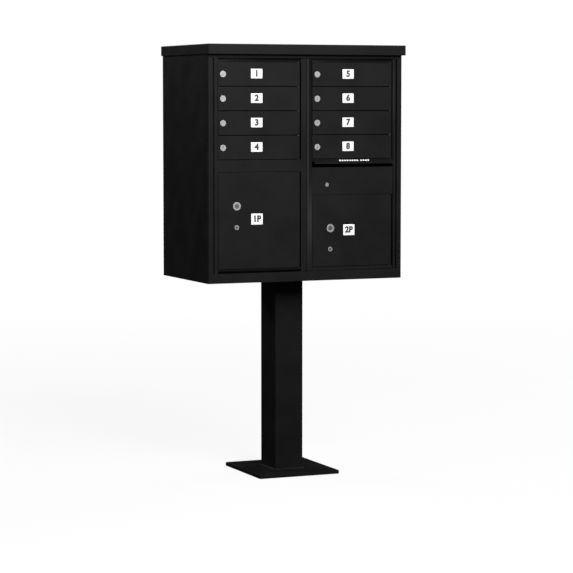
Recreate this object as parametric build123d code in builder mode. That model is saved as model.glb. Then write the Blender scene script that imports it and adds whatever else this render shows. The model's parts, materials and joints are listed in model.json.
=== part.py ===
from build123d import *
from dataclasses import dataclass
import os

os.makedirs("parts", exist_ok=True)

# Cluster mailbox unit on a pedestal, in millimetres. X runs to the right, Y to the back and Z up.
# The origin is on the floor, at the centre of the pedestal's four anchor holes. The doors face -Y.

# Overall size
overall_width = 774.7  # across the roof cap
overall_depth = 482.2  # front of the roof cap to its back; the cabinet below it is 457.2
overall_height = 1574.8
pedestal_height = 723.9  # floor to the underside of the cabinet

# Roof cap
cap_side_overhang = 5.0  # past the cabinet's sides and back
cap_front_overhang = 20.0
cap_height = 36.0
cap_sheet = 3.0
cap_edge_radius = 3.0

# Cabinet shell
panel_sheet = 3.0
post_width = 21.0
post_depth = 24.0
post_wall = 2.5
post_corner_radius = 8.0
sill_height = 35.0
head_rail_drop = 13.0  # how far the head rail shows below the roof cap
shelf_sheet = 2.0
shelf_clearance = 1.9  # shelves' front edges behind the locks

# Master doors: two welded frames that carry the small doors
door_gap = 1.5  # daylight between a door and what surrounds it
frame_depth = 19.0
outer_stile_width = 16.0
inner_stile_width = 21.0
top_rail_height = 12.3
bottom_rail_height = 12.0
middle_rail_height = 43.0
divider_height = 12.0
pin_radius = 3.0
pin_inset = 7.0  # hinge line, from the master door's outer edge and from its front face
pin_engagement = 30.0
pin_head_clearance = 0.2  # between a pin's head and the channel's front wall
pin_head_height = 3.0
pin_collar_radius = 4.5
running_clearance = 0.05  # radial, of a pin or plug in its hole
end_clearance = 0.1  # left at the end faces of turning pieces

# Small doors
tenant_count = 4  # in each master door
tenant_pitch = 87.0
tenant_gap = 2.5
door_depth = 12.0
door_face = 3.0
door_flange = 2.5
door_edge_radius = 1.2
rod_radius = 2.0
rod_engagement = 8.0
rod_collar_radius = 4.0

# Outgoing mail: hood, slot and fixed panel
hood_rail_height = 8.0
slot_height = 21.5  # opening in the frame behind the hood
slot_clear = 12.5  # between the panel's top edge and the hood's lip
panel_height = 99.8
panel_flange = 15.0
hood_side_gap = 4.0  # hood's ends, in from the stiles
hood_reach = 16.0
hood_lip = 3.0
hood_sheet = 2.5

# Latch that the carrier's lock drives
arrow_lock_x = 80.25
arrow_lock_height = 36.8  # above the panel's bottom edge
arrow_face_radius = 8.0
arrow_face_proud = 1.5
arrow_neck_radius = 7.0
arrow_plug_radius = 4.5
arrow_case_wall = 3.7
crank_radius = 14.0
crank_arm_width = 10.0
crank_arm_thickness = 3.0
crank_pin_radius = 2.5
bar_standoff = 3.0  # crank arm to latch bar
bar_thickness = 3.0
bar_top_margin = 6.7  # bar above its slot
bar_end_margin = 8.8  # bar past its slot
bar_tip_x = 8.0  # latch bar's tip when drawn back
bar_clearance = 0.3
window_clearance = 1.0
slot_play = 0.8  # crank pin in the bar's slot
keeper_sheet = 3.0
keeper_inner_x = -5.0
keeper_foot = 14.0
keeper_margin = 6.0

# Pedestal
base_width = 317.5
base_depth = 342.9
base_thickness = 12.7
base_corner_radius = 6.0
anchor_inset = 25.4
anchor_hole_radius = 8.7
column_width = 114.3
column_depth = 139.7
column_wall = 4.8
column_corner_radius = 10.0
top_plate_size = 254.0
top_plate_thickness = 6.4
bolt_spacing = 165.0
bolt_radius = 6.0
bolt_hole_clearance = 0.5
bolt_head_radius = 12.0
bolt_head_height = 4.0
bolt_across_flats = 19.0
bolt_nut_height = 10.0


@dataclass
class Lock:
    """Sizes of one kind of cam lock. Depths are measured back from the doors' front face."""

    inset: float  # door's left edge to the lock's axis
    face_radius: float
    face_proud: float
    barrel_radius: float
    plug_radius: float
    housing_end: float
    nut_across_flats: float
    nut_thickness: float
    cam_length: float
    cam_width: float
    cam_thickness: float
    keyway_height: float


cam_engagement = 9.0  # how far a turned cam reaches behind the stile
cam_gap = 0.4
cam_screw_radius = 4.0
cam_screw_height = 2.2
cam_tail_side = 6.0
nut_clearance = 0.05
keyway_width = 1.6
keyway_depth = 3.0
plug_proud = 0.6  # plug's face in front of its housing's face

tenant_lock_inset = 18.5
parcel_lock_inset = 70.5
tenant_lock = Lock(
    inset=tenant_lock_inset,
    face_radius=11.0,
    face_proud=2.0,
    barrel_radius=9.4,
    plug_radius=6.5,
    housing_end=frame_depth + 1.0,
    nut_across_flats=24.0,
    nut_thickness=5.0,
    cam_length=tenant_lock_inset + door_gap + cam_engagement,
    cam_width=10.0,
    cam_thickness=2.5,
    keyway_height=7.0,
)
parcel_lock = Lock(
    inset=parcel_lock_inset,
    face_radius=15.0,
    face_proud=2.5,
    barrel_radius=12.5,
    plug_radius=8.0,
    housing_end=frame_depth + 1.5,
    nut_across_flats=30.0,
    nut_thickness=5.0,
    cam_length=parcel_lock_inset + door_gap + cam_engagement,
    cam_width=14.0,
    cam_thickness=3.0,
    keyway_height=9.0,
)
control_lock = Lock(
    inset=parcel_lock_inset,
    face_radius=8.5,
    face_proud=2.0,
    barrel_radius=7.2,
    plug_radius=4.8,
    housing_end=13.0,
    nut_across_flats=19.0,
    nut_thickness=4.0,
    cam_length=22.0,
    cam_width=9.0,
    cam_thickness=2.5,
    keyway_height=5.0,
)
parcel_lock_drop = 120.0  # parcel door's top edge to its customer lock
control_lock_drop = 76.0  # customer lock to the carrier's control lock below it

# Places worked out from the sizes above, from the cabinet's outside to its doors
cabinet_half_width = overall_width / 2 - cap_side_overhang
cabinet_depth = overall_depth - cap_front_overhang - cap_side_overhang
front_y = -cabinet_depth / 2
back_y = cabinet_depth / 2
cabinet_bottom = pedestal_height
cabinet_top = overall_height - cap_sheet
cap_bottom = overall_height - cap_height
side_inner_x = cabinet_half_width - panel_sheet
back_inner_y = back_y - panel_sheet
post_inner_x = cabinet_half_width - post_width
partition_half = panel_sheet / 2

sill_top = cabinet_bottom + sill_height
head_rail_bottom = cap_bottom - head_rail_drop
master_bottom = sill_top + door_gap
master_top = head_rail_bottom - door_gap
master_outer_x = post_inner_x - door_gap
master_inner_x = door_gap / 2
opening_outer_x = master_outer_x - outer_stile_width
opening_inner_x = master_inner_x + inner_stile_width
door_width = opening_outer_x - opening_inner_x - 2 * door_gap
master_pin_x = master_outer_x - pin_inset
master_pin_y = front_y + pin_inset
pin_head_radius = pin_inset - panel_sheet - pin_head_clearance

barrel_radius = door_depth / 2
hinge_y = front_y + barrel_radius
tenant_height = tenant_pitch - tenant_gap
tenant_top = master_top - top_rail_height - door_gap
tenant_bottom = tenant_top - tenant_count * tenant_pitch + tenant_gap
below_tenants = tenant_bottom - door_gap
parcel_bottom = master_bottom + bottom_rail_height + door_gap
middle_rail_bottom = below_tenants - middle_rail_height
panel_top = below_tenants - hood_rail_height - slot_height
panel_bottom = panel_top - panel_height
arrow_lock_z = panel_bottom + arrow_lock_height
lock_back = parcel_lock.housing_end + cam_gap + parcel_lock.cam_thickness + cam_screw_height
shelf_setback = max(post_depth, lock_back) + shelf_clearance

# Latch of the master doors, worked out from its crank. The crank pin swings from 45 degrees on one
# side of the axis to 45 degrees on the other, so the bar travels twice the pin's sideways offset.
crank_pin_offset = crank_radius * 0.5**0.5
slot_half = crank_pin_radius + slot_play
crank_arm_front = post_depth
bar_front = crank_arm_front + crank_arm_thickness + bar_standoff
bar_back = bar_front + bar_thickness
bar_height = crank_radius + slot_half + bar_top_margin
bar_tail = crank_pin_offset + slot_half + bar_end_margin
bar_z = (arrow_lock_z, arrow_lock_z + bar_height)
window_depth = (front_y + bar_front - window_clearance, front_y + bar_back + window_clearance)
window_z = (bar_z[0] - window_clearance, bar_z[1] + window_clearance)
crank_pocket_radius = crank_radius + crank_arm_width / 2 + bar_clearance
arrow_case_back = bar_back + bar_clearance + arrow_case_wall
parcel_tops = {"left": middle_rail_bottom - door_gap, "right": panel_bottom - door_gap}
door_left_x = {"left": -opening_outer_x + door_gap, "right": opening_inner_x + door_gap}


def save(part, name):
    """Label a finished piece and write it to its own file."""
    part.label = name
    export_step(part, f"parts/{name}.step")


def outward(side, near, far):
    """X span between two distances from the centre plane, on the left (-1) or the right (+1)."""
    return tuple(sorted((side * near, side * far)))


def depth_span(front, back):
    """Y span between two depths behind the doors' front face."""
    return (front_y + front, front_y + back)


def fill(x_span, y_span, z_span, mode=Mode.ADD):
    """Add a straight-sided block to the part being built, or cut it away."""
    spans = (x_span, y_span, z_span)
    with Locations(tuple((low + high) / 2 for low, high in spans)):
        Box(*(high - low for low, high in spans), mode=mode)


def block(x_span, y_span, z_span):
    """A straight-sided piece of sheet or bar on its own."""
    with BuildPart() as piece:
        fill(x_span, y_span, z_span)
    return piece.part


def drill_down(x, y, z_span, radius):
    """Cut a vertical round hole in the part being built."""
    with Locations((x, y, sum(z_span) / 2)):
        Cylinder(radius, z_span[1] - z_span[0], mode=Mode.SUBTRACT)


def facing_back(x, z, depth):
    """Plane across a lock's axis, at a depth behind the front face; its local +Y points down."""
    return Plane(origin=(x, front_y + depth, z), x_dir=(1, 0, 0), z_dir=(0, 1, 0))


def drill_back(x, z, front, back, radius):
    """Cut a round hole that runs from the front to the back in the part being built."""
    with Locations(facing_back(x, z, front)):
        Cylinder(radius, back - front, align=(Align.CENTER, Align.CENTER, Align.MIN), mode=Mode.SUBTRACT)


def group(pieces):
    """Separate solids that share one node."""
    return Compound([solid for piece in pieces for solid in piece.solids()])


# ---------------------------------------------------------------- pedestal


def base_plate():
    """Steel floor plate with a hole near each corner for the anchor bolts."""
    with BuildPart() as plate:
        with BuildSketch():
            Rectangle(base_width, base_depth)
            fillet(vertices(), base_corner_radius)
            with GridLocations(base_width - 2 * anchor_inset, base_depth - 2 * anchor_inset, 2, 2):
                Circle(anchor_hole_radius, mode=Mode.SUBTRACT)
        extrude(amount=base_thickness)
    return plate.part


def pedestal_column():
    """Rectangular steel tube welded between the base plate and the top plate."""
    with BuildPart() as column:
        with BuildSketch(Plane.XY.offset(base_thickness)):
            Rectangle(column_width, column_depth)
            fillet(vertices(), column_corner_radius)
            offset(amount=-column_wall, mode=Mode.SUBTRACT)
        extrude(amount=pedestal_height - top_plate_thickness - base_thickness)
    return column.part


def pedestal_top_plate():
    """Square plate that the cabinet is bolted down on."""
    with BuildPart() as plate:
        with BuildSketch(Plane.XY.offset(pedestal_height - top_plate_thickness)):
            Rectangle(top_plate_size, top_plate_size)
            with GridLocations(bolt_spacing, bolt_spacing, 2, 2):
                Circle(bolt_radius + bolt_hole_clearance, mode=Mode.SUBTRACT)
        extrude(amount=top_plate_thickness)
    return plate.part


def pedestal_bolts():
    """Four low-headed bolts up through the top plate and the cabinet floor, with a nut on each."""
    plate_bottom = pedestal_height - top_plate_thickness
    floor_top = cabinet_bottom + panel_sheet
    with BuildPart() as bolts:
        with BuildSketch(Plane.XY.offset(plate_bottom - bolt_head_height)):
            with GridLocations(bolt_spacing, bolt_spacing, 2, 2):
                Circle(bolt_head_radius)
        extrude(amount=bolt_head_height)
        with BuildSketch(Plane.XY.offset(plate_bottom)):
            with GridLocations(bolt_spacing, bolt_spacing, 2, 2):
                Circle(bolt_radius)
        extrude(amount=floor_top + bolt_nut_height - plate_bottom)
    with BuildPart() as nuts:
        with BuildSketch(Plane.XY.offset(floor_top)):
            with GridLocations(bolt_spacing, bolt_spacing, 2, 2):
                RegularPolygon(bolt_across_flats / 2, 6, major_radius=False)
                Circle(bolt_radius + nut_clearance, mode=Mode.SUBTRACT)
        extrude(amount=bolt_nut_height)
    return group([bolts.part, nuts.part])


# ---------------------------------------------------------------- cabinet shell


def corner_post(side):
    """Hollow extrusion at a front corner, rounded where the front turns into the side."""
    centre = (side * (cabinet_half_width - post_width / 2), front_y + post_depth / 2)
    with BuildPart() as post:
        with BuildSketch(Plane.XY.offset(cabinet_bottom)):
            with Locations(centre):
                Rectangle(post_width, post_depth)
            outer_corner = vertices().group_by(Axis.Y)[0].sort_by(Axis.X)[max(side, 0) * -1]
            fillet(outer_corner, post_corner_radius)
            offset(amount=-post_wall, mode=Mode.SUBTRACT)
        extrude(amount=cabinet_top - cabinet_bottom)
    return post.part


def cabinet_floor():
    """Flat floor sheet, drilled for the pedestal's bolts."""
    floor_span = (cabinet_bottom, cabinet_bottom + panel_sheet)
    with BuildPart() as floor:
        fill((-side_inner_x, side_inner_x), (front_y + post_depth, back_inner_y), floor_span)
        for x in (-bolt_spacing / 2, bolt_spacing / 2):
            for y in (-bolt_spacing / 2, bolt_spacing / 2):
                drill_down(x, y, floor_span, bolt_radius + bolt_hole_clearance)
    return floor.part


def front_channel(z_span, hinge_flange):
    """Folded channel between the corner posts, open to the back, drilled for the hinge pins."""
    inner = (z_span[0] + panel_sheet, z_span[1] - panel_sheet)
    with BuildPart() as channel:
        fill((-post_inner_x, post_inner_x), depth_span(0, post_depth), z_span)
        fill((-post_inner_x, post_inner_x), depth_span(panel_sheet, post_depth), inner, Mode.SUBTRACT)
        for x in (-master_pin_x, master_pin_x):
            drill_down(x, master_pin_y, hinge_flange, pin_radius)
    return channel.part


def roof_cap():
    """Folded hood over the whole cabinet, open underneath."""
    cap_back = back_y + cap_side_overhang
    cap_front = front_y - cap_front_overhang
    half = overall_width / 2
    with BuildPart() as cap:
        fill((-half, half), (cap_front, cap_back), (cap_bottom, overall_height))
        fillet(edges().group_by(Axis.Z)[-1] + edges().filter_by(Axis.Z), cap_edge_radius)
        fill(
            (cap_sheet - half, half - cap_sheet),
            (cap_front + cap_sheet, cap_back - cap_sheet),
            (cap_bottom, cabinet_top),
            Mode.SUBTRACT,
        )
    return cap.part


def centre_partition():
    """Wall between the two columns of compartments, with a window that the latch bar enters."""
    wall_x = (-partition_half, partition_half)
    with BuildPart() as wall:
        fill(wall_x, (front_y + post_depth, back_inner_y), (cabinet_bottom + panel_sheet, cabinet_top))
        fill(wall_x, window_depth, window_z, Mode.SUBTRACT)
    return wall.part


def shelf_levels(name):
    """Height of each shelf's middle: ceiling, tenant shelves, outgoing floor and parcel floor."""
    half = shelf_sheet / 2
    levels = [tenant_top + door_gap + half]
    for row in range(1, tenant_count + 1):
        levels.append(tenant_top - row * tenant_pitch + tenant_gap / 2)
    if name == "right":
        levels.append(panel_bottom - door_gap / 2)
    levels.append(parcel_bottom - door_gap - half)
    return levels


def shelves(name, side):
    """Flat shelves of one column, from the partition to the side panel."""
    sheets = []
    for level in shelf_levels(name):
        sheet_z = (level - shelf_sheet / 2, level + shelf_sheet / 2)
        sheet_y = (front_y + shelf_setback, back_inner_y)
        sheets.append(block(outward(side, partition_half, side_inner_x), sheet_y, sheet_z))
    return group(sheets)


def master_hinge_pins():
    """Headed pins fixed in the sill and the head rail, with a thrust collar under each door."""
    pins = []
    for x in (-master_pin_x, master_pin_x):
        for face, direction in ((sill_top, 1), (head_rail_bottom, -1)):
            head_face = face - direction * panel_sheet
            length = panel_sheet + door_gap + pin_engagement
            with BuildPart() as pin:
                with BuildSketch(Plane(origin=(x, master_pin_y, head_face), z_dir=(0, 0, direction))):
                    Circle(pin_radius)
                extrude(amount=length)
                with BuildSketch(Plane(origin=(x, master_pin_y, head_face), z_dir=(0, 0, -direction))):
                    Circle(pin_head_radius)
                extrude(amount=pin_head_height)
                with BuildSketch(Plane(origin=(x, master_pin_y, face), z_dir=(0, 0, direction))):
                    Circle(pin_collar_radius)
                extrude(amount=door_gap - end_clearance)
            pins.append(pin.part)
    return group(pins)


# ---------------------------------------------------------------- master doors


def outer_stile(side):
    """Hinge-side bar of a master door, rounded about the hinge line and bored for its pins."""
    stile_x = outward(side, opening_outer_x, master_outer_x)
    bore_depth = pin_engagement + 2 * door_gap
    with BuildPart() as stile:
        fill(stile_x, depth_span(0, frame_depth), (master_bottom, master_top))
        front_corners = edges().filter_by(Axis.Z).group_by(Axis.Y)[0].sort_by(Axis.X)
        fillet(front_corners[max(side, 0) * -1], pin_inset)
        for bore in ((master_bottom, master_bottom + bore_depth), (master_top - bore_depth, master_top)):
            drill_down(side * master_pin_x, master_pin_y, bore, pin_radius + running_clearance)
    return stile.part


def rail(name, side, z_span, front=0.0, rod_ends=()):
    """Bar between a master door's stiles, bored where a hinge rod ends in it."""
    with BuildPart() as bar:
        fill(outward(side, opening_inner_x, opening_outer_x), depth_span(front, frame_depth), z_span)
        for rod_end in rod_ends:
            drill_down(rod_x(name), hinge_y, rod_end, rod_radius)
    return bar.part


def rod_x(name):
    """X of the hinge rod at the right edge of one column's small doors."""
    return door_left_x[name] + door_width - barrel_radius


def rod_spans(name):
    """Z span of each hinge rod in a master door: the tenant doors' rod and the parcel door's."""
    return (
        (tenant_bottom - door_gap - rod_engagement, tenant_top + door_gap + rod_engagement),
        (parcel_bottom - door_gap - rod_engagement, parcel_tops[name] + door_gap + rod_engagement),
    )


def master_frame(name, side):
    """Stiles, rails and recessed dividers of one master door, welded at their ends."""
    upper_rod, lower_rod = rod_spans(name)
    inner_stile_x = outward(side, master_inner_x, opening_inner_x)
    top_rail_bottom = master_top - top_rail_height
    bottom_rail_top = master_bottom + bottom_rail_height
    bars = [
        outer_stile(side),
        block(inner_stile_x, depth_span(0, frame_depth), (master_bottom, master_top)),
        rail(name, side, (top_rail_bottom, master_top), rod_ends=[(top_rail_bottom, upper_rod[1])]),
        rail(name, side, (master_bottom, bottom_rail_top), rod_ends=[(lower_rod[0], bottom_rail_top)]),
    ]
    for row in range(1, tenant_count):
        level = tenant_top - row * tenant_pitch + tenant_gap / 2
        divider_span = (level - divider_height / 2, level + divider_height / 2)
        bars.append(rail(name, side, divider_span, front=door_depth + door_gap))
    if name == "left":
        middle = (middle_rail_bottom, below_tenants)
        rod_ends = [(upper_rod[0], below_tenants), (middle_rail_bottom, lower_rod[1])]
        bars.append(rail(name, side, middle, rod_ends=rod_ends))
    else:
        hood_rail = (below_tenants - hood_rail_height, below_tenants)
        panel_rail = (panel_bottom, panel_bottom + rod_engagement + door_flange)
        bars.append(rail(name, side, hood_rail, front=panel_sheet, rod_ends=[hood_rail]))
        bars.append(rail(name, side, panel_rail, front=panel_sheet, rod_ends=[(panel_bottom, lower_rod[1])]))
    return group(bars)


def hinge_rods(name):
    """Two long rods that the small doors turn on, with spacer collars in the gaps between doors."""
    upper_rod, lower_rod = rod_spans(name)
    tenant_gaps = [tenant_top - row * tenant_pitch for row in range(1, tenant_count)]
    collars = [(gap + end_clearance, gap + tenant_gap - end_clearance) for gap in tenant_gaps]
    edge_collars = {
        upper_rod: (tenant_bottom - door_gap, tenant_bottom - end_clearance),
        lower_rod: (parcel_bottom - door_gap, parcel_bottom - end_clearance),
    }
    rods = []
    for rod_span, edge_collar in edge_collars.items():
        with BuildPart() as rod:
            with BuildSketch(Plane.XY.offset(rod_span[0])):
                with Locations((rod_x(name), hinge_y)):
                    Circle(rod_radius)
            extrude(amount=rod_span[1] - rod_span[0])
            spacers = [edge_collar] + (collars if rod_span == upper_rod else [])
            for low, high in spacers:
                with Locations((rod_x(name), hinge_y, (low + high) / 2)):
                    Cylinder(rod_collar_radius, high - low)
        rods.append(rod.part)
    return group(rods)


def latch_keeper():
    """Angle behind the left master door's inner stile, with a window that the latch bar enters."""
    keeper_z = (bar_z[0] - keeper_margin, bar_z[1] + keeper_margin)
    keeper_back = window_depth[1] + keeper_margin
    wall_x = (keeper_inner_x - keeper_sheet, keeper_inner_x)
    foot_x = (keeper_inner_x - keeper_foot, keeper_inner_x)
    with BuildPart() as keeper:
        fill(foot_x, depth_span(frame_depth, frame_depth + keeper_sheet), keeper_z)
        fill(wall_x, (front_y + frame_depth, keeper_back), keeper_z)
        fill(wall_x, window_depth, window_z, Mode.SUBTRACT)
    return keeper.part


# ---------------------------------------------------------------- outgoing mail


def outgoing_hood():
    """Flared hood over the outgoing slot: a fixing flange, a sloping skin, a lip and two cheeks."""
    lip_bottom = panel_top + slot_clear
    lip_top = lip_bottom + hood_lip
    drop = below_tenants - lip_top
    slope_length = (hood_reach**2 + drop**2) ** 0.5
    skin_drop = hood_sheet * slope_length / hood_reach
    inner_reach = hood_reach - hood_sheet
    inner_lip_top = below_tenants - skin_drop - inner_reach * drop / hood_reach
    flange_bottom = below_tenants - hood_rail_height
    section = [
        (front_y + panel_sheet, below_tenants),
        (front_y, below_tenants),
        (front_y - hood_reach, lip_top),
        (front_y - hood_reach, lip_bottom),
        (front_y - inner_reach, lip_bottom),
        (front_y - inner_reach, inner_lip_top),
        (front_y, below_tenants - skin_drop),
        (front_y, flange_bottom),
        (front_y + panel_sheet, flange_bottom),
    ]
    cheek = [
        (front_y, below_tenants - skin_drop / 2),
        (front_y - inner_reach, lip_bottom + hood_lip / 2),
        (front_y - inner_reach, lip_bottom),
        (front_y, lip_bottom),
    ]
    left_end = opening_inner_x + hood_side_gap
    right_end = opening_outer_x - hood_side_gap
    with BuildPart() as hood:
        with BuildSketch(Plane.YZ.offset(left_end)):
            Polygon(*section, align=None)
        extrude(amount=right_end - left_end)
        for cheek_x in (left_end, right_end - hood_sheet):
            with BuildSketch(Plane.YZ.offset(cheek_x)):
                Polygon(*cheek, align=None)
            extrude(amount=hood_sheet)
    return hood.part


def outgoing_panel():
    """Fixed panel below the slot; its top edge is folded back so that letters slide over it."""
    panel_x = (opening_inner_x, opening_outer_x)
    with BuildPart() as panel:
        fill(panel_x, depth_span(0, panel_sheet), (panel_bottom, panel_top))
        fill(panel_x, depth_span(0, panel_flange), (panel_top - hood_sheet, panel_top))
        drill_back(arrow_lock_x, arrow_lock_z, 0, panel_sheet, arrow_neck_radius)
    return panel.part


# ---------------------------------------------------------------- latch of the master doors


def arrow_lock_case():
    """Lock case behind the panel: face ring, plug bore, crank pocket and the latch bar's channel."""
    channel_front = bar_front - bar_clearance
    channel_z = (bar_z[0] - bar_clearance, bar_z[1] + bar_clearance)
    case_half_width = crank_pocket_radius + arrow_case_wall
    case_x = (arrow_lock_x - case_half_width, arrow_lock_x + case_half_width)
    case_top = max(arrow_lock_z + crank_pocket_radius, channel_z[1]) + arrow_case_wall
    case_z = (arrow_lock_z - case_half_width, case_top)
    with BuildPart() as case:
        fill(case_x, depth_span(panel_sheet, arrow_case_back), case_z)
        with BuildSketch(facing_back(arrow_lock_x, arrow_lock_z, 0)):
            Circle(arrow_neck_radius)
        extrude(amount=panel_sheet)
        with BuildSketch(facing_back(arrow_lock_x, arrow_lock_z, -arrow_face_proud)):
            Circle(arrow_face_radius)
        extrude(amount=arrow_face_proud)
        plug_bore = arrow_plug_radius + running_clearance
        drill_back(arrow_lock_x, arrow_lock_z, -arrow_face_proud, crank_arm_front, plug_bore)
        pocket_front = crank_arm_front - bar_clearance
        drill_back(arrow_lock_x, arrow_lock_z, pocket_front, channel_front, crank_pocket_radius)
        fill(case_x, depth_span(channel_front, bar_back + bar_clearance), channel_z, Mode.SUBTRACT)
    return case.part


def arrow_lock_plug():
    """Keyed plug with a crank arm, whose pin drives the latch bar a quarter turn's width."""
    arm_centre = crank_pin_offset / 2
    pin_end = bar_back - bar_clearance
    with BuildPart() as plug:
        with BuildSketch(facing_back(arrow_lock_x, arrow_lock_z, -arrow_face_proud - plug_proud)):
            Circle(arrow_plug_radius)
        extrude(amount=crank_arm_front + arrow_face_proud + plug_proud)
        with BuildSketch(facing_back(arrow_lock_x, arrow_lock_z, crank_arm_front)):
            with Locations(Location((arm_centre, -arm_centre, 0), (0, 0, -45))):
                SlotCenterToCenter(crank_radius, crank_arm_width)
        extrude(amount=crank_arm_thickness)
        with BuildSketch(facing_back(arrow_lock_x, arrow_lock_z, crank_arm_front + crank_arm_thickness)):
            with Locations((crank_pin_offset, -crank_pin_offset)):
                Circle(crank_pin_radius)
        extrude(amount=pin_end - crank_arm_front - crank_arm_thickness)
        with BuildSketch(facing_back(arrow_lock_x, arrow_lock_z, -arrow_face_proud - plug_proud)):
            Rectangle(keyway_width, control_lock.keyway_height)
        extrude(amount=keyway_depth, mode=Mode.SUBTRACT)
    return plug.part


def latch_bar():
    """Flat bar that slides left through the partition and the keeper when the lock is turned."""
    bar_depth = depth_span(bar_front, bar_back)
    slot_x = arrow_lock_x + crank_pin_offset
    slot_z = (arrow_lock_z + crank_pin_offset - slot_half, arrow_lock_z + crank_radius + slot_half)
    with BuildPart() as bar:
        fill((bar_tip_x, arrow_lock_x + bar_tail), bar_depth, bar_z)
        fill((slot_x - slot_half, slot_x + slot_half), bar_depth, slot_z, Mode.SUBTRACT)
    return bar.part


# ---------------------------------------------------------------- small doors and their locks


def door_leaf(name, z_span, lock_holes):
    """Door pan: flat face, folded flanges and a hinge barrel along its right edge."""
    left_x = door_left_x[name]
    axis_x = rod_x(name)
    bottom, top = z_span
    pocket_x = (left_x + door_flange, axis_x - barrel_radius)
    pocket_z = (bottom + door_flange, top - door_flange)
    with BuildPart() as door:
        fill((left_x, axis_x), depth_span(0, door_depth), z_span)
        front_edges = faces().sort_by(Axis.Y)[0].edges()
        right_edge = front_edges.sort_by(Axis.X)[-1]
        fillet([edge for edge in front_edges if edge != right_edge], door_edge_radius)
        fill(pocket_x, depth_span(door_face, door_depth), pocket_z, Mode.SUBTRACT)
        with Locations((axis_x, hinge_y, (bottom + top) / 2)):
            Cylinder(barrel_radius, top - bottom)
        drill_down(axis_x, hinge_y, z_span, rod_radius + running_clearance)
        for lock, lock_z in lock_holes:
            drill_back(left_x + lock.inset, lock_z, 0, door_face, lock.barrel_radius)
    return door.part


def lock_housing(lock, x, z):
    """Fixed body of a cam lock: face ring and barrel, with its hex nut behind the door's face."""
    with BuildPart() as housing:
        with BuildSketch(facing_back(x, z, -lock.face_proud)):
            Circle(lock.face_radius)
        extrude(amount=lock.face_proud)
        with BuildSketch(facing_back(x, z, 0)):
            Circle(lock.barrel_radius)
        extrude(amount=lock.housing_end)
        bore = lock.plug_radius + running_clearance
        drill_back(x, z, -lock.face_proud, lock.housing_end, bore)
    with BuildPart() as nut:
        with BuildSketch(facing_back(x, z, door_face)):
            RegularPolygon(lock.nut_across_flats / 2, 6, major_radius=False)
            Circle(lock.barrel_radius + nut_clearance, mode=Mode.SUBTRACT)
        extrude(amount=lock.nut_thickness)
    return group([housing.part, nut.part])


def lock_plug(lock, x, z):
    """Turning part of a cam lock: keyed plug, cam hanging down, and the screw that holds the cam."""
    face = -lock.face_proud - plug_proud
    cam_front = lock.housing_end + cam_gap
    cam_back = cam_front + lock.cam_thickness
    with BuildPart() as plug:
        with BuildSketch(facing_back(x, z, face)):
            Circle(lock.plug_radius)
        extrude(amount=cam_front - face)
        with BuildSketch(facing_back(x, z, cam_front)):
            Rectangle(cam_tail_side, cam_tail_side)
        extrude(amount=lock.cam_thickness)
        with BuildSketch(facing_back(x, z, face)):
            Rectangle(keyway_width, lock.keyway_height)
        extrude(amount=keyway_depth, mode=Mode.SUBTRACT)
    with BuildPart() as cam:
        with BuildSketch(facing_back(x, z, cam_front)):
            reach = lock.cam_length - lock.cam_width / 2
            with Locations(Location((0, reach / 2, 0), (0, 0, 90))):
                SlotCenterToCenter(reach, lock.cam_width)
            Rectangle(cam_tail_side, cam_tail_side, mode=Mode.SUBTRACT)
        extrude(amount=lock.cam_thickness)
    with BuildPart() as screw:
        with BuildSketch(facing_back(x, z, cam_back)):
            Circle(cam_screw_radius)
        extrude(amount=cam_screw_height)
    return group([plug.part, cam.part, screw.part])


def tenant_span(row):
    """Z span of the tenant door in one row, counted from 0 at the top."""
    top = tenant_top - row * tenant_pitch
    return (top - tenant_height, top)


# ---------------------------------------------------------------- write every piece

full_height = (cabinet_bottom, cabinet_top)
side_panel_y = (front_y + post_depth, back_y)
sill_span = (cabinet_bottom, sill_top)
sill_flange = (sill_top - panel_sheet, sill_top)
head_span = (head_rail_bottom, cabinet_top)
head_flange = (head_rail_bottom, head_rail_bottom + panel_sheet)

save(base_plate(), "base_plate")
save(pedestal_column(), "pedestal_column")
save(pedestal_top_plate(), "pedestal_top_plate")
save(pedestal_bolts(), "pedestal_bolts")
save(cabinet_floor(), "cabinet_floor")
save(front_channel(sill_span, sill_flange), "front_sill")
save(front_channel(head_span, head_flange), "head_rail")
save(block((-side_inner_x, side_inner_x), (back_inner_y, back_y), full_height), "back_panel")
save(roof_cap(), "roof_cap")
save(centre_partition(), "centre_partition")
save(master_hinge_pins(), "master_hinge_pins")
save(latch_keeper(), "latch_keeper")
save(outgoing_hood(), "outgoing_hood")
save(outgoing_panel(), "outgoing_panel")
save(arrow_lock_case(), "arrow_lock_case")
save(arrow_lock_plug(), "arrow_lock_plug")
save(latch_bar(), "latch_bar")

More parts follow.
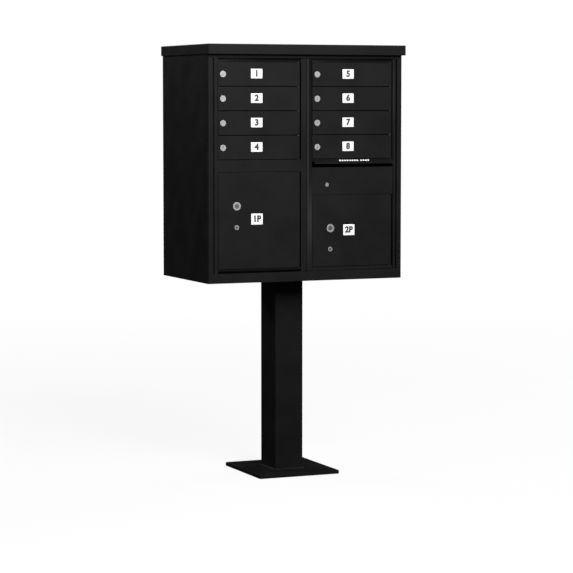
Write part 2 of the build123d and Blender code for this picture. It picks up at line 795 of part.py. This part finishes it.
for column, (name, side) in enumerate((("left", -1), ("right", 1))):
    side_panel_x = outward(side, side_inner_x, cabinet_half_width)
    save(corner_post(side), f"{name}_corner_post")
    save(block(side_panel_x, side_panel_y, full_height), f"{name}_side_panel")
    save(shelves(name, side), f"{name}_shelves")
    save(master_frame(name, side), f"{name}_master_frame")
    save(hinge_rods(name), f"{name}_hinge_rods")

    for row in range(tenant_count):
        number = column * tenant_count + row + 1
        lock_x = door_left_x[name] + tenant_lock.inset
        lock_z = sum(tenant_span(row)) / 2
        save(door_leaf(name, tenant_span(row), [(tenant_lock, lock_z)]), f"tenant_door_{number}")
        save(lock_housing(tenant_lock, lock_x, lock_z), f"tenant_lock_body_{number}")
        save(lock_plug(tenant_lock, lock_x, lock_z), f"tenant_lock_plug_{number}")

    number = column + 1
    lock_x = door_left_x[name] + parcel_lock_inset
    parcel_lock_z = parcel_tops[name] - parcel_lock_drop
    control_lock_z = parcel_lock_z - control_lock_drop
    locks = [(parcel_lock, parcel_lock_z), (control_lock, control_lock_z)]
    save(door_leaf(name, (parcel_bottom, parcel_tops[name]), locks), f"parcel_door_{number}")
    housings = [lock_housing(lock, lock_x, lock_z) for lock, lock_z in locks]
    save(group(housings), f"parcel_lock_bodies_{number}")
    save(lock_plug(parcel_lock, lock_x, parcel_lock_z), f"parcel_lock_plug_{number}")
    save(lock_plug(control_lock, lock_x, control_lock_z), f"control_lock_plug_{number}")
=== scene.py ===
import json
import math

import bpy
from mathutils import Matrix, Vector

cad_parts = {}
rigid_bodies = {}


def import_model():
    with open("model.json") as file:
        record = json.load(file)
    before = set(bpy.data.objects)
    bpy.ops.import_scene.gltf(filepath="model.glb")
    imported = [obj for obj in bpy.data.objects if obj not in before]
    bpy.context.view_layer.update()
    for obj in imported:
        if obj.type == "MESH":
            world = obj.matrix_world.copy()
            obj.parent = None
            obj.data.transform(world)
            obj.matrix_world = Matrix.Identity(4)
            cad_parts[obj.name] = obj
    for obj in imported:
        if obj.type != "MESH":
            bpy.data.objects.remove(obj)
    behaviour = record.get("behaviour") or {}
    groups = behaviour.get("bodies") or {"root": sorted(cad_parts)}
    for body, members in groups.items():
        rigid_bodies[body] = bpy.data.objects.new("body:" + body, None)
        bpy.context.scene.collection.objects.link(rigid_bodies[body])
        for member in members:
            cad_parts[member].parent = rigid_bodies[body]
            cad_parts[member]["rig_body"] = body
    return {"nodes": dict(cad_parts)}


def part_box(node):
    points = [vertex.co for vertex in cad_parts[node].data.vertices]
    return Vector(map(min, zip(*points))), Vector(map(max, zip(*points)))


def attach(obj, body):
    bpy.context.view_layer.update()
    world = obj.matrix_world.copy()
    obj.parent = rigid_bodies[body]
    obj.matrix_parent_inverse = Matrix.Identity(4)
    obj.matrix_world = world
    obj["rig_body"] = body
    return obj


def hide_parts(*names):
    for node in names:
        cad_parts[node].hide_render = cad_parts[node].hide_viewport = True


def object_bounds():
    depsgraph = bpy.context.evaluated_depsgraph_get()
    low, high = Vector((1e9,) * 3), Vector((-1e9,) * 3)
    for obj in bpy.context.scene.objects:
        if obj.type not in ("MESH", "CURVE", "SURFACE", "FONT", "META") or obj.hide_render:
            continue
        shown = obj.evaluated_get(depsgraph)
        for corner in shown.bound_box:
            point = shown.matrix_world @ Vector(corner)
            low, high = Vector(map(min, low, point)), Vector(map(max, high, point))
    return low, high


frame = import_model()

mm = 0.001  # in metres
cad_low, cad_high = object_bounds()


# ---------------------------------------------------------------- camera
# A long lens about eight and a half metres off, round to the left of the doors and a little below
# the roof, tipped down slightly so that the whole unit stands in the frame.

camera_turn = math.radians(23.26)  # to the left of straight in front
camera_tip = math.radians(4.69)  # down
camera_height = 1.376
camera_distance = 8.408  # level, to the middle of the pedestal
camera_aside = 0.018  # to the right of the line through the pedestal
camera_lens = 142.7

level_forward = Vector((math.sin(camera_turn), math.cos(camera_turn), 0))
level_right = Vector((math.cos(camera_turn), -math.sin(camera_turn), 0))
camera_place = level_right * camera_aside - level_forward * camera_distance
camera_place.z = camera_height
bpy.ops.object.camera_add(
    location=camera_place,
    rotation=(math.pi / 2 - camera_tip, 0, -camera_turn),
)
camera = bpy.context.object
camera.data.sensor_width = 36
camera.data.lens = camera_lens
camera.data.clip_end = 200
bpy.context.scene.camera = camera


# ---------------------------------------------------------------- floor and light
# A white studio: a round pale floor that runs out into a white surround, one large soft light
# high in front, and weaker ones at each side and behind. The surround gives a little light of its
# own and is nearly dark in reflections, which keeps the black coat black.

floor_radius = 60
floor_sides = 96
shadow_radius = 1.5  # the floor takes shadows inside it, and fades to plain white outside
floor_fade_end = 7.0
floor_glow = 0.85  # share of the floor's white that shines by itself near the unit
studio_white = 1.0
surround_light = 0.30
surround_shine = 0.02  # what shiny surfaces see of the surround


def hex_colour(code):
    """Linear RGBA of an sRGB hex colour."""
    channels = [int(code[i : i + 2], 16) / 255 for i in (1, 3, 5)]
    linear = [c / 12.92 if c <= 0.04045 else ((c + 0.055) / 1.055) ** 2.4 for c in channels]
    return (*linear, 1)


def add_node(tree, kind, links=(), values=(), **settings):
    """Add a shader node with its settings, the values of its sockets and the links into them."""
    node = tree.nodes.new(kind)
    for name, value in settings.items():
        setattr(node, name, value)
    for socket, value in dict(values).items():
        node.inputs[socket].default_value = value
    for socket, source in dict(links).items():
        tree.links.new(source, node.inputs[socket])
    return node


def new_finish(name, constants):
    """A material, its node tree, its shader and the object's own coordinates for its patterns."""
    finish = bpy.data.materials.new(name)
    finish.use_nodes = True
    tree = finish.node_tree
    shader = tree.nodes["Principled BSDF"]
    for socket, value in constants.items():
        shader.inputs[socket].default_value = value
    return finish, tree, shader, add_node(tree, "ShaderNodeTexCoord").outputs["Object"]


def soft_light(name, place, target, size, power):
    """Square soft box that faces a point on the object."""
    bpy.ops.object.light_add(type="AREA", location=place)
    light = bpy.context.object
    light.name = name
    light.data.size = size
    light.data.energy = power
    light.rotation_euler = (Vector(target) - Vector(place)).to_track_quat("-Z", "Y").to_euler()


surround = bpy.data.worlds.new("studio_surround")
bpy.context.scene.world = surround
surround.use_nodes = True
surround_tree = surround.node_tree
background = surround_tree.nodes["Background"]
seen = add_node(surround_tree, "ShaderNodeLightPath")
lighting = add_node(
    surround_tree,
    "ShaderNodeMapRange",
    {"Value": seen.outputs["Is Glossy Ray"]},
    {"To Min": surround_light, "To Max": surround_shine},
)
strength = add_node(
    surround_tree,
    "ShaderNodeMapRange",
    {"Value": seen.outputs["Is Camera Ray"], "To Min": lighting.outputs["Result"]},
    {"To Max": studio_white},
)
surround_tree.links.new(strength.outputs["Result"], background.inputs["Strength"])
background.inputs["Color"].default_value = (1, 1, 1, 1)

bpy.ops.mesh.primitive_circle_add(vertices=floor_sides, radius=floor_radius, fill_type="NGON")
studio_floor = bpy.context.object
studio_floor.name = "studio_floor"
floor_paint, floor_tree, floor_shader, floor_place = new_finish(
    "matt_white_floor_paint",
    {"Base Color": hex_colour("#e6e6e6"), "Roughness": 0.9, "Specular IOR Level": 0.0},
)
from_centre = add_node(floor_tree, "ShaderNodeVectorMath", {0: floor_place}, operation="LENGTH")
fade = add_node(
    floor_tree,
    "ShaderNodeMapRange",
    {"Value": from_centre.outputs["Value"]},
    {"From Min": shadow_radius, "From Max": floor_fade_end, "To Min": floor_glow},
    interpolation_type="SMOOTHSTEP",
)
glow = add_node(floor_tree, "ShaderNodeEmission", (), {"Strength": studio_white})
glow.inputs["Color"].default_value = (1, 1, 1, 1)
blend = add_node(
    floor_tree,
    "ShaderNodeMixShader",
    {0: fade.outputs["Result"], 1: floor_shader.outputs["BSDF"], 2: glow.outputs["Emission"]},
)
floor_tree.links.new(blend.outputs["Shader"], floor_tree.nodes["Material Output"].inputs["Surface"])
studio_floor.data.materials.append(floor_paint)
studio_floor.visible_glossy = False
studio_floor.visible_diffuse = False

middle = (cad_low + cad_high) / 2
soft_light("key_soft_box", (0.2, -5.4, 4.0), (0, -0.2, 0.6), 3.2, 460)
soft_light("left_fill", (-5.0, -1.5, 2.2), middle, 2.5, 22)
soft_light("rear_fill", (-3.2, 5.5, 4.5), middle, 2.5, 130)
soft_light("right_fill", (5.5, 1.5, 3.5), middle, 2.5, 120)
bpy.context.scene.view_settings.view_transform = "Standard"


# ---------------------------------------------------------------- pedestal
# Steel plates and a rectangular tube, welded together, blasted and powder coated black in one
# piece. The coat is a smooth satin with a faint orange peel.

merge_distance = 0.001 * mm
flat_within = math.radians(1)
crease_from = math.radians(40)  # corners sharper than this are eased
smooth_within = math.radians(38)
weld_leg = 4.5 * mm
weld_step = 4.0 * mm  # from one ripple's ridge or dip to the next
weld_dip = 0.86  # thickness between two ripples
column_corner = 10.0 * mm  # outside radius of the tube's corners
column_corner_steps = 5


def select_only(piece):
    """Make one object the selected and active one."""
    bpy.ops.object.select_all(action="DESELECT")
    piece.select_set(True)
    bpy.context.view_layer.objects.active = piece


def apply_modifiers(piece):
    """Make a piece's modifiers part of its mesh."""
    select_only(piece)
    for modifier in list(piece.modifiers):
        bpy.ops.object.modifier_apply(modifier=modifier.name)


def pick_edges(piece, wanted):
    """Go into edit mode with just those edges selected whose run from end to end is wanted."""
    bpy.ops.object.mode_set(mode="EDIT")
    bpy.ops.mesh.select_mode(type="EDGE")
    bpy.ops.mesh.select_all(action="DESELECT")
    bpy.ops.object.mode_set(mode="OBJECT")
    vertices = piece.data.vertices
    for edge in piece.data.edges:
        start, end = (vertices[i].co for i in edge.vertices)
        edge.select = wanted(end - start)
    bpy.ops.object.mode_set(mode="EDIT")


def settle(piece, body, finish):
    """Give a finished piece its origin, its finish and its body."""
    select_only(piece)
    bpy.ops.object.transform_apply(location=True, rotation=True, scale=True)
    piece.data.materials.clear()
    piece.data.materials.append(finish)
    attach(piece, body)


def eased(node, edge, finish, segments=2):
    """The CAD piece as it leaves the shop, with its corners eased by a small radius. Its normals
    are weighted by area, so that flat faces stay flat up to the eased edge."""
    source = frame["nodes"][node]
    piece = bpy.data.objects.new(f"{node}_finished", source.data.copy())
    bpy.context.scene.collection.objects.link(piece)
    select_only(piece)
    bpy.ops.object.mode_set(mode="EDIT")
    bpy.ops.mesh.select_all(action="SELECT")
    bpy.ops.mesh.remove_doubles(threshold=merge_distance)
    bpy.ops.mesh.dissolve_limited(angle_limit=flat_within)
    bpy.ops.object.mode_set(mode="OBJECT")
    bevel = piece.modifiers.new("eased_edges", "BEVEL")
    bevel.width = edge
    bevel.segments = segments
    bevel.limit_method = "ANGLE"
    bevel.angle_limit = crease_from
    apply_modifiers(piece)
    bpy.ops.object.shade_smooth_by_angle(angle=smooth_within)
    level_faces = piece.modifiers.new("level_faces", "WEIGHTED_NORMAL")
    level_faces.keep_sharp = True
    apply_modifiers(piece)
    settle(piece, source["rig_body"], finish)
    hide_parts(node)


def noise(tree, place, size, detail):
    """Cloudy pattern with cells of a given size."""
    values = {"Scale": 1 / size, "Detail": detail}
    return add_node(tree, "ShaderNodeTexNoise", {"Vector": place}, values).outputs["Fac"]


def tone_between(tree, shader, pattern, low, high):
    """Let the colour follow a pattern from low to high, each a pattern value and a hex code."""
    tone = add_node(tree, "ShaderNodeValToRGB", {"Fac": pattern})
    for stop, (value, code) in zip(tone.color_ramp.elements, (low, high)):
        stop.position = value
        stop.color = hex_colour(code)
    tree.links.new(tone.outputs["Color"], shader.inputs["Base Color"])


def gloss_between(tree, shader, pattern, low, high):
    """Let the roughness follow a pattern from low to high, each a pattern value and a roughness."""
    gloss = add_node(
        tree,
        "ShaderNodeMapRange",
        {"Value": pattern},
        {"From Min": low[0], "From Max": high[0], "To Min": low[1], "To Max": high[1]},
    )
    tree.links.new(gloss.outputs["Result"], shader.inputs["Roughness"])


def bump(tree, pattern, strength, depth, under=None):
    """Normals of a surface that a pattern raises and lowers, on top of the bump under it."""
    links = {"Height": pattern}
    if under:
        links["Normal"] = under
    values = {"Strength": strength, "Distance": depth}
    return add_node(tree, "ShaderNodeBump", links, values).outputs["Normal"]


def powder_coat(name, colour, dusty_colour, roughness, sheet_wave):
    """Black polyester powder coat. The eye sees a deep satin black, slightly uneven in its gloss,
    with a fine orange peel and, on large sheets, a slow wave that bends the reflections."""
    peel_cell = 2.2 * mm
    peel_depth = 0.12 * mm
    cloud_size = 90 * mm
    wave_length = 260 * mm
    finish, tree, shader, place = new_finish(name, {"IOR": 1.5, "Specular IOR Level": 0.13})
    cloud = noise(tree, place, cloud_size, 4.0)
    tone_between(tree, shader, cloud, (0.35, colour), (0.75, dusty_colour))
    gloss_between(tree, shader, cloud, (0.3, roughness - 0.05), (0.7, roughness + 0.06))
    wave = bump(tree, noise(tree, place, wave_length, 0.0), 1.0, sheet_wave)
    peel = bump(tree, noise(tree, place, peel_cell, 1.0), 0.25, peel_depth, wave)
    tree.links.new(peel, shader.inputs["Normal"])
    return finish


def weld_bead(name, level):
    """Rippled fillet weld round the column where it meets a plate."""
    column_low, column_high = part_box("pedestal_column")
    span = column_high - column_low
    bpy.ops.mesh.primitive_plane_add(size=1, location=(0, 0, level))
    bead = bpy.context.object
    bead.name = name
    bead.scale = (span.x, span.y, 1)
    bpy.ops.object.transform_apply(location=True, rotation=True, scale=True)
    bpy.ops.object.mode_set(mode="EDIT")
    bpy.ops.mesh.select_all(action="SELECT")
    bpy.ops.mesh.bevel(offset=column_corner, segments=column_corner_steps, affect="VERTICES")
    bpy.ops.mesh.select_all(action="SELECT")
    bpy.ops.mesh.delete(type="ONLY_FACE")
    bpy.ops.object.mode_set(mode="OBJECT")
    pick_edges(bead, lambda run: run.length > 2 * column_corner)
    bpy.ops.mesh.subdivide(number_cuts=int(span.x / weld_step))
    bpy.ops.object.mode_set(mode="OBJECT")
    bpy.ops.object.convert(target="CURVE")
    for spline in bead.data.splines:
        for index, point in enumerate(spline.points):
            point.radius = 1.0 if index % 2 else weld_dip
    bead.data.bevel_depth = weld_leg
    bead.data.bevel_resolution = 3
    bpy.ops.object.convert(target="MESH")
    bpy.ops.object.shade_smooth()
    settle(bead, "cabinet", pedestal_black)


pedestal_black = powder_coat("pedestal_black_powder_coat", "#0c0c0d", "#101011", 0.5, 0.0)

eased("base_plate", 1.5 * mm, pedestal_black, segments=3)
eased("pedestal_column", 0.6 * mm, pedestal_black)
eased("pedestal_top_plate", 1.2 * mm, pedestal_black)
weld_bead("base_weld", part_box("pedestal_column")[0].z)
weld_bead("top_weld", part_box("pedestal_column")[1].z)


# ---------------------------------------------------------------- pedestal bolts
# Zinc-plated bolts with low round heads, and hex nuts. The plate is bright with a slightly milky,
# bluish bloom.


def plated_metal(name, colour, bloom_colour, roughness, bloom_size):
    """Plated or polished metal. The eye sees a clear metal gloss, clouded here and there by a
    thin bloom, with very fine handling marks."""
    mark_size = 0.6 * mm
    mark_depth = 0.02 * mm
    finish, tree, shader, place = new_finish(name, {"Metallic": 1.0})
    bloom = noise(tree, place, bloom_size, 3.0)
    tone_between(tree, shader, bloom, (0.4, colour), (0.7, bloom_colour))
    gloss_between(tree, shader, bloom, (0.3, roughness), (0.7, roughness + 0.12))
    marks = bump(tree, noise(tree, place, mark_size, 2.0), 0.15, mark_depth)
    tree.links.new(marks, shader.inputs["Normal"])
    return finish


zinc_plate = plated_metal("bright_zinc_plate", "#b4b8be", "#c9ccc8", 0.28, 9 * mm)
eased("pedestal_bolts", 0.5 * mm, zinc_plate)


# ---------------------------------------------------------------- cabinet shell
# Aluminium sheet and extrusion, folded and riveted, powder coated satin black inside and out.
# Sheet edges carry the small radius that the coat gives them.

cabinet_black = powder_coat("cabinet_black_powder_coat", "#121213", "#151516", 0.46, 0.12 * mm)
rivet_radius = 4.0 * mm
rivet_height = 1.4 * mm
rivet_edge = 11.0 * mm  # from the back panel's edge to the row of rivets
rivet_pitch = 95.0 * mm
rivet_sides = 20
rivet_sunk = 0.1  # share of the height that stands in the sheet
rivet_dome = ((0.3, 0.35), (0.35, 0.12))  # steps in, in radii, and up, in heights

shell_edges = {
    "cabinet_floor": 0.4 * mm,
    "front_sill": 0.9 * mm,
    "head_rail": 0.9 * mm,
    "left_corner_post": 0.5 * mm,
    "right_corner_post": 0.5 * mm,
    "left_side_panel": 0.7 * mm,
    "right_side_panel": 0.7 * mm,
    "back_panel": 0.7 * mm,
    "roof_cap": 0.8 * mm,
}
for node, edge in shell_edges.items():
    eased(node, edge, cabinet_black)


def rivet_row():
    """Low domed rivets down both edges of the back panel, into the side panels' flanges."""
    panel_low, panel_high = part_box("back_panel")
    side_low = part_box("left_side_panel")[0]
    cap_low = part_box("roof_cap")[0]
    first = panel_low.z + rivet_edge * 2
    count = int((cap_low.z - rivet_edge - first) / rivet_pitch) + 1
    bpy.ops.mesh.primitive_cylinder_add(
        vertices=rivet_sides,
        radius=rivet_radius,
        depth=rivet_height,
        location=(side_low.x + rivet_edge, panel_high.y + rivet_height * (0.5 - rivet_sunk), first),
        rotation=(-math.pi / 2, 0, 0),
    )
    rivets = bpy.context.object
    rivets.name = "back_rivets"
    bpy.ops.object.transform_apply(location=True, rotation=True, scale=True)
    bpy.ops.object.mode_set(mode="EDIT")
    bpy.ops.mesh.select_mode(type="FACE")
    bpy.ops.mesh.select_all(action="DESELECT")
    bpy.ops.object.mode_set(mode="OBJECT")
    for polygon in rivets.data.polygons:
        polygon.select = polygon.normal.y > 0.9
    bpy.ops.object.mode_set(mode="EDIT")
    for step_in, step_up in rivet_dome:
        bpy.ops.mesh.inset(thickness=rivet_radius * step_in, depth=rivet_height * step_up)
    bpy.ops.object.mode_set(mode="OBJECT")
    row = rivets.modifiers.new("row", "ARRAY")
    row.count = count
    row.use_relative_offset = False
    row.use_constant_offset = True
    row.constant_offset_displace = (0, 0, rivet_pitch)
    both = rivets.modifiers.new("both_sides", "MIRROR")
    both.use_axis = (True, False, False)
    apply_modifiers(rivets)
    bpy.ops.object.mode_set(mode="EDIT")
    bpy.ops.mesh.select_all(action="SELECT")
    bpy.ops.mesh.normals_make_consistent(inside=False)
    bpy.ops.object.mode_set(mode="OBJECT")
    bpy.ops.object.shade_smooth_by_angle(angle=crease_from)
    settle(rivets, "cabinet", cabinet_black)


rivet_row()


# ---------------------------------------------------------------- shelves and partition
# The shelves and the wall between the two columns are bare aluminium sheet, as it comes from the
# mill, with fine rolling lines from left to right.


def drawn_metal(name, colour, line_colour, roughness, line_size, stretch):
    """Rolled or drawn metal. The eye sees a soft grey gloss broken up by fine parallel lines.
    Stretch makes the lines long on one axis."""
    line_depth = 0.03 * mm
    finish, tree, shader, place = new_finish(name, {"Metallic": 1.0})
    along = add_node(tree, "ShaderNodeMapping", {"Vector": place}, {"Scale": stretch})
    lines = noise(tree, along.outputs["Vector"], line_size, 3.0)
    tone_between(tree, shader, lines, (0.3, colour), (0.75, line_colour))
    gloss_between(tree, shader, lines, (0.3, roughness - 0.06), (0.7, roughness + 0.08))
    tree.links.new(bump(tree, lines, 0.2, line_depth), shader.inputs["Normal"])
    return finish


mill_aluminium = drawn_metal(
    "mill_finish_aluminium", "#a9abae", "#bfc1c3", 0.42, 1.5 * mm, (0.03, 1.0, 1.0)
)
for node in ("left_shelves", "right_shelves", "centre_partition"):
    eased(node, 0.3 * mm, mill_aluminium)


# ---------------------------------------------------------------- master doors
# Welded aluminium bars, linished flush and powder coated with the cabinet. They turn on plain
# stainless pins, and carry bright drawn stainless rods for the small doors.

stainless_rod = drawn_metal(
    "drawn_stainless_steel", "#9c9c9d", "#b3b3b4", 0.30, 0.8 * mm, (1.0, 1.0, 0.02)
)
for name in ("left", "right"):
    eased(f"{name}_master_frame", 0.7 * mm, cabinet_black)
    eased(f"{name}_hinge_rods", 0.25 * mm, stainless_rod)
eased("master_hinge_pins", 0.3 * mm, stainless_rod)


# ---------------------------------------------------------------- latch between the master doors
# The carrier's lock is a plated case with a turning plug, whose crank slides a steel bar.

lock_chrome = plated_metal("satin_nickel_chrome", "#bbbcbf", "#a3a4a7", 0.43, 4 * mm)
eased("latch_keeper", 0.5 * mm, zinc_plate)
eased("latch_bar", 0.4 * mm, zinc_plate)
eased("arrow_lock_case", 0.5 * mm, zinc_plate)
eased("arrow_lock_plug", 0.25 * mm, lock_chrome)


# ---------------------------------------------------------------- outgoing mail
# A pressed hood over the slot and a fixed panel under it, coated with the doors. A row of plain
# white printed blocks on the hood stands where such units carry their wording.

label_start = 104.0 * mm  # from the doors' left edge to the first block
label_groups = (8, 4)
block_width = 6.4 * mm
block_height = 7.0 * mm
block_gap = 3.4 * mm
group_gap = 5.0 * mm
ink_height = 0.15 * mm
label_rise = 0.62  # the blocks' centre, as a share of the way up the slope
hood_lip = 3.0 * mm

eased("outgoing_hood", 0.6 * mm, cabinet_black)
eased("outgoing_panel", 0.8 * mm, cabinet_black)


def printed_plastic(name, colour, soiled_colour, roughness):
    """Printed vinyl or acrylic. The eye sees an even, clean colour with a soft sheen, a trace of
    handling grime and a slight grain."""
    grain_size = 0.9 * mm
    grain_depth = 0.03 * mm
    smudge_size = 12 * mm
    finish, tree, shader, place = new_finish(name, {"IOR": 1.49})
    grime = noise(tree, place, smudge_size, 4.0)
    tone_between(tree, shader, grime, (0.45, colour), (0.85, soiled_colour))
    gloss_between(tree, shader, grime, (0.0, roughness - 0.08), (1.0, roughness + 0.1))
    grain = bump(tree, noise(tree, place, grain_size, 1.0), 0.1, grain_depth)
    tree.links.new(grain, shader.inputs["Normal"])
    return finish


white_vinyl = printed_plastic("white_vinyl_print", "#f0f0f0", "#e4e4e1", 0.45)


def hood_blocks():
    """Blocks printed on the hood's sloping face, in two groups."""
    hood_low, hood_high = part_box("outgoing_hood")
    door_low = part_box("tenant_door_8")[0]
    lip_top = hood_low.z + hood_lip
    front_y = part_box("outgoing_panel")[0].y
    foot = Vector((0, hood_low.y, lip_top))
    head = Vector((0, front_y, hood_high.z))
    slope = head - foot
    lean = math.atan2(slope.y, slope.z)
    centre = foot + slope * label_rise
    x = door_low.x + label_start
    blocks = []
    for count in label_groups:
        for _ in range(count):
            bpy.ops.mesh.primitive_cube_add(
                size=1,
                location=(x + block_width / 2, centre.y, centre.z),
                rotation=(-lean, 0, 0),
                scale=(block_width, 2 * ink_height, block_height),
            )
            blocks.append(bpy.context.object)
            x += block_width + block_gap
        x += group_gap
    for piece in blocks:
        piece.select_set(True)
    bpy.context.view_layer.objects.active = blocks[0]
    bpy.ops.object.join()
    printed = bpy.context.object
    printed.name = "outgoing_label_blocks"
    settle(printed, "right_master_door", white_vinyl)


hood_blocks()


# ---------------------------------------------------------------- small doors
# Pressed aluminium pans with a hinge barrel down the right edge, each hung on its column's rod.

door_nodes = [f"tenant_door_{n}" for n in range(1, 9)] + ["parcel_door_1", "parcel_door_2"]
for node in door_nodes:
    eased(node, 0.5 * mm, cabinet_black)


# ---------------------------------------------------------------- cam locks
# Zinc die-cast cylinders with a satin nickel-chrome plate, keyed plugs, hex nuts and steel cams.
# The parcel lockers' plugs are black-nickel plated, and show dark inside the bright rims.

plug_nickel = plated_metal("black_nickel_plate", "#7c7c7e", "#6a6a6d", 0.42, 5 * mm)

for n in range(1, 9):
    eased(f"tenant_lock_body_{n}", 0.6 * mm, lock_chrome)
    eased(f"tenant_lock_plug_{n}", 0.25 * mm, lock_chrome)
for n in (1, 2):
    eased(f"parcel_lock_bodies_{n}", 0.6 * mm, lock_chrome)
    eased(f"parcel_lock_plug_{n}", 0.3 * mm, plug_nickel)
    eased(f"control_lock_plug_{n}", 0.2 * mm, plug_nickel)


# ---------------------------------------------------------------- number plates
# White printed plates stuck to the doors, with round corners and dark grey numbers. Tenant doors
# are numbered 1 to 8 and the parcel lockers 1P and 2P. The plates were stuck on by hand, so they
# stand a few millimetres further left in the right column.

plate_thickness = 0.8 * mm
plate_corner = 2.0 * mm
plate_corner_steps = 5
plate_rim = 0.2 * mm
plate_rim_from = math.radians(60)  # corners sharper than this get the rim
plate_smooth_within = math.radians(35)
tenant_plate = (44.5 * mm, 34 * mm)
parcel_plate = (44.5 * mm, 39.5 * mm)
tenant_plate_x = (148 * mm, 141 * mm)  # from the door's left edge, in each column
tenant_plate_rise = 2 * mm
parcel_plate_x = (148.5 * mm, 145 * mm)
parcel_plate_drop = (167 * mm, 127 * mm)  # below the door's top edge; the left door is taller
number_size = 30 * mm
number_stroke = 1.5 * mm  # makes the numbers bolder, on each side of a stroke
number_half_depth = 0.12 * mm  # a quarter of the depth is sunk in the plate

number_ink = printed_plastic("dark_grey_print", "#2c2c2e", "#38383a", 0.5)


def number_plate(label, body, centre, size):
    """A plate and the number printed on it, on the front of a small door."""
    bpy.ops.mesh.primitive_cube_add(
        size=1,
        location=(centre.x, centre.y - plate_thickness / 2, centre.z),
        scale=(size[0], plate_thickness, size[1]),
    )
    plate = bpy.context.object
    plate.name = f"number_plate_{label}"
    bpy.ops.object.transform_apply(location=True, rotation=True, scale=True)
    pick_edges(plate, lambda run: abs(run.y) > plate_thickness / 2)
    bpy.ops.mesh.bevel(offset=plate_corner, segments=plate_corner_steps, affect="EDGES")
    bpy.ops.object.mode_set(mode="OBJECT")
    rim = plate.modifiers.new("eased_rim", "BEVEL")
    rim.width = plate_rim
    rim.segments = 2
    rim.limit_method = "ANGLE"
    rim.angle_limit = plate_rim_from
    apply_modifiers(plate)
    bpy.ops.object.shade_smooth_by_angle(angle=plate_smooth_within)
    settle(plate, body, white_vinyl)

    front = Vector((centre.x, centre.y - plate_thickness - number_half_depth / 2, centre.z))
    bpy.ops.object.text_add(location=front, rotation=(math.pi / 2, 0, 0))
    number = bpy.context.object
    number.name = f"number_{label}"
    number.data.body = label
    number.data.size = number_size
    number.data.align_x = "CENTER"
    number.data.align_y = "CENTER"
    number.data.extrude = number_half_depth
    number.data.offset = number_stroke
    number.data.resolution_u = 4
    bpy.ops.object.convert(target="MESH")
    bpy.ops.object.mode_set(mode="EDIT")
    bpy.ops.mesh.select_all(action="SELECT")
    bpy.ops.mesh.remove_doubles(threshold=merge_distance)
    bpy.ops.object.mode_set(mode="OBJECT")
    settle(number, body, number_ink)


for column in (0, 1):
    for row in (1, 2, 3, 4):
        n = column * 4 + row
        low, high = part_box(f"tenant_door_{n}")
        middle_z = (low.z + high.z) / 2
        spot = Vector((low.x + tenant_plate_x[column], low.y, middle_z + tenant_plate_rise))
        number_plate(f"{n}", f"tenant_door_{n}", spot, tenant_plate)
    door = f"parcel_door_{column + 1}"
    low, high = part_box(door)
    spot = Vector((low.x + parcel_plate_x[column], low.y, high.z - parcel_plate_drop[column]))
    number_plate(f"{column + 1}P", door, spot, parcel_plate)
